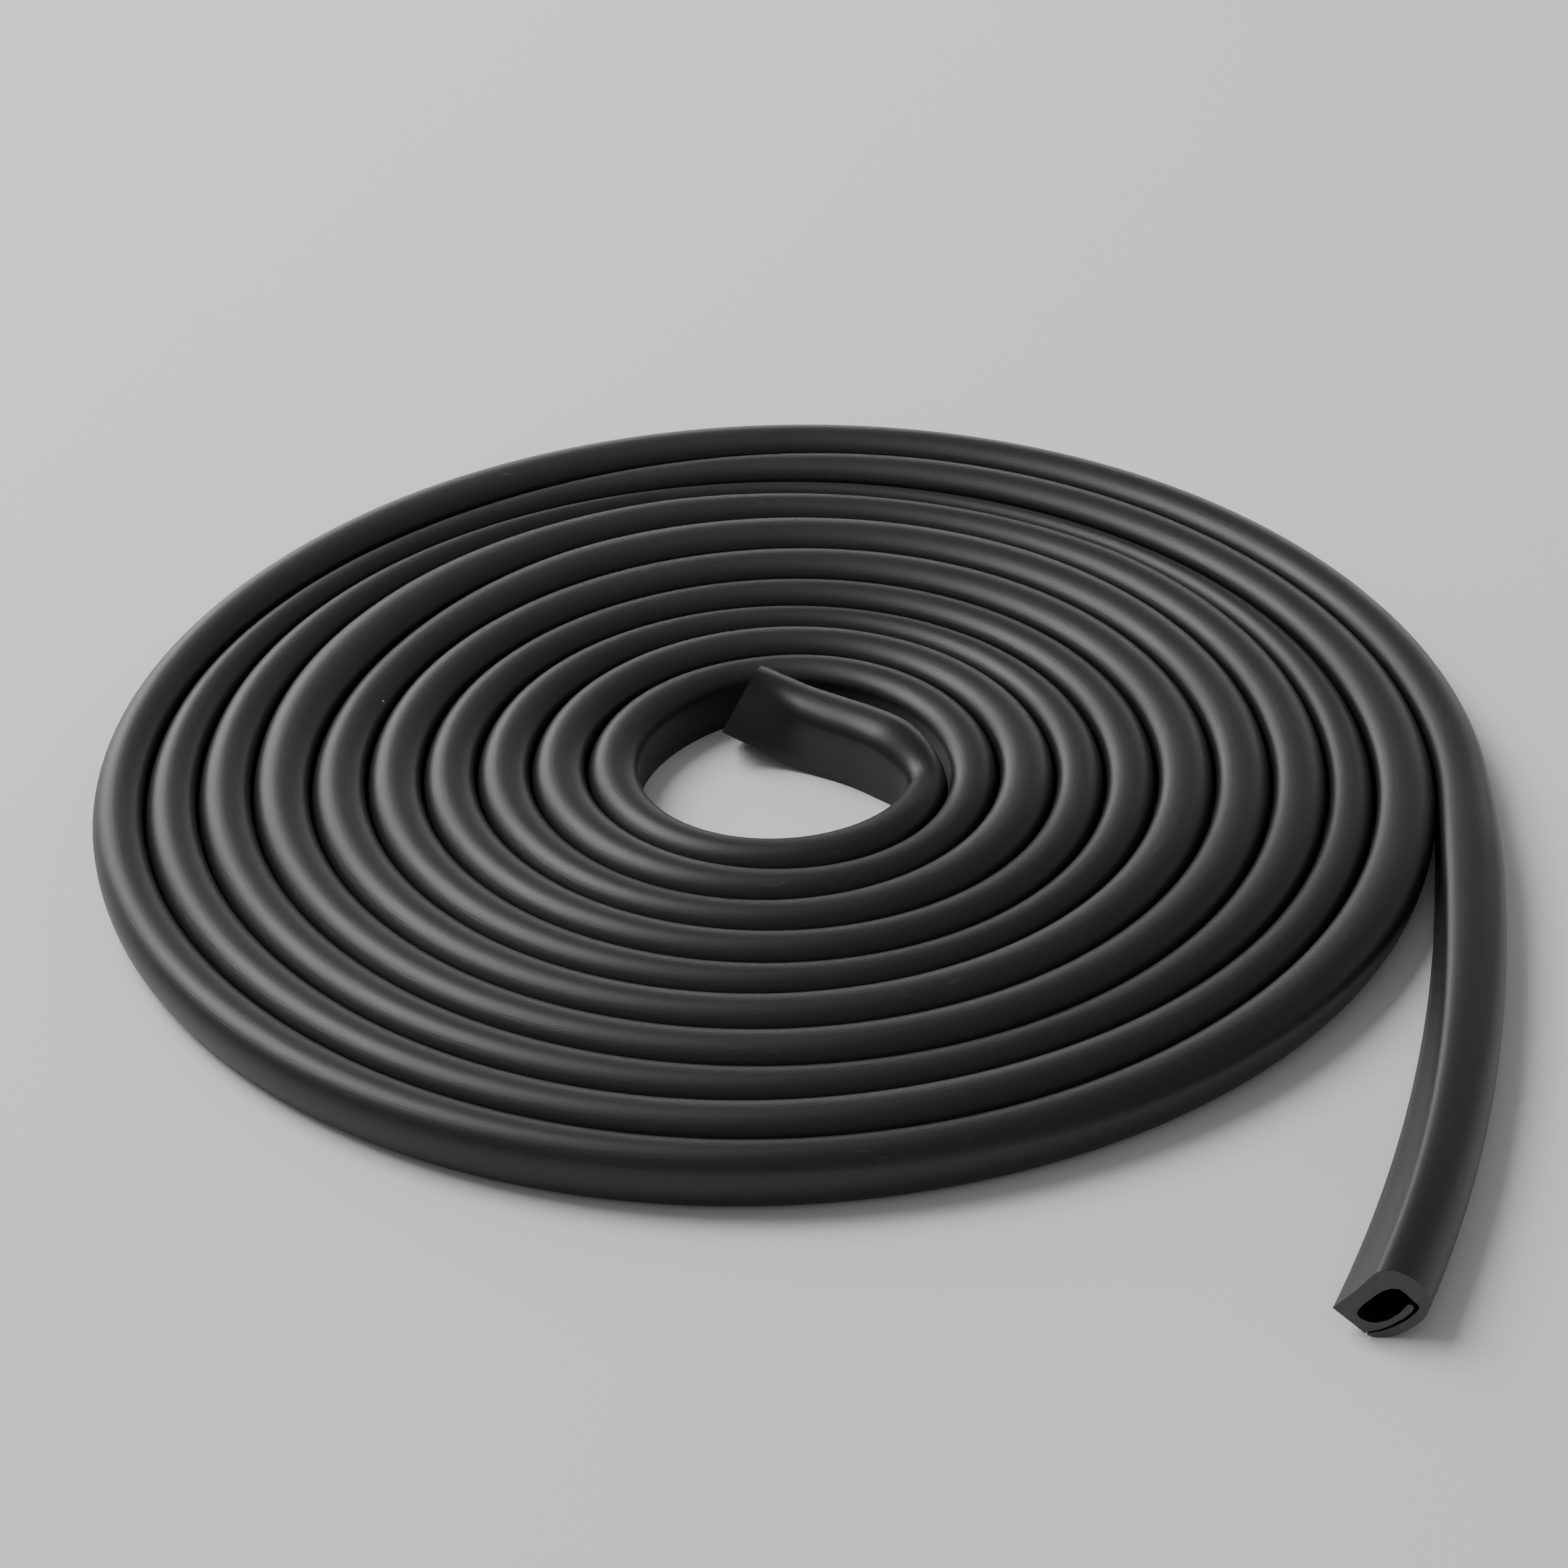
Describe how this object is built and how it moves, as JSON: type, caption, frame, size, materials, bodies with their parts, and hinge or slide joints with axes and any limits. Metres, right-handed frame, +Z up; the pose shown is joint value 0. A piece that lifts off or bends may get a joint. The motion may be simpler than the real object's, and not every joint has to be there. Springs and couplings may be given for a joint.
{
  "type": "rubber edge trim",
  "caption": "Hollow, slit rubber edge trim strip, wound in a loose flat coil with one free end running out to the side.",
  "frame": {"origin": "on the floor, under the middle of the part's bounding box", "axes": "+Z up from the floor that the coil lies on, +Y along the part's length, away from the free end's cut, +X to the side that the free end leaves from"},
  "size_m": [0.316, 0.347, 0.0203],
  "materials": {
    "black_rubber": "satin"
  },
  "bodies": {
    "root": {"edge_trim": "black_rubber"}
  },
  "joints": []
}
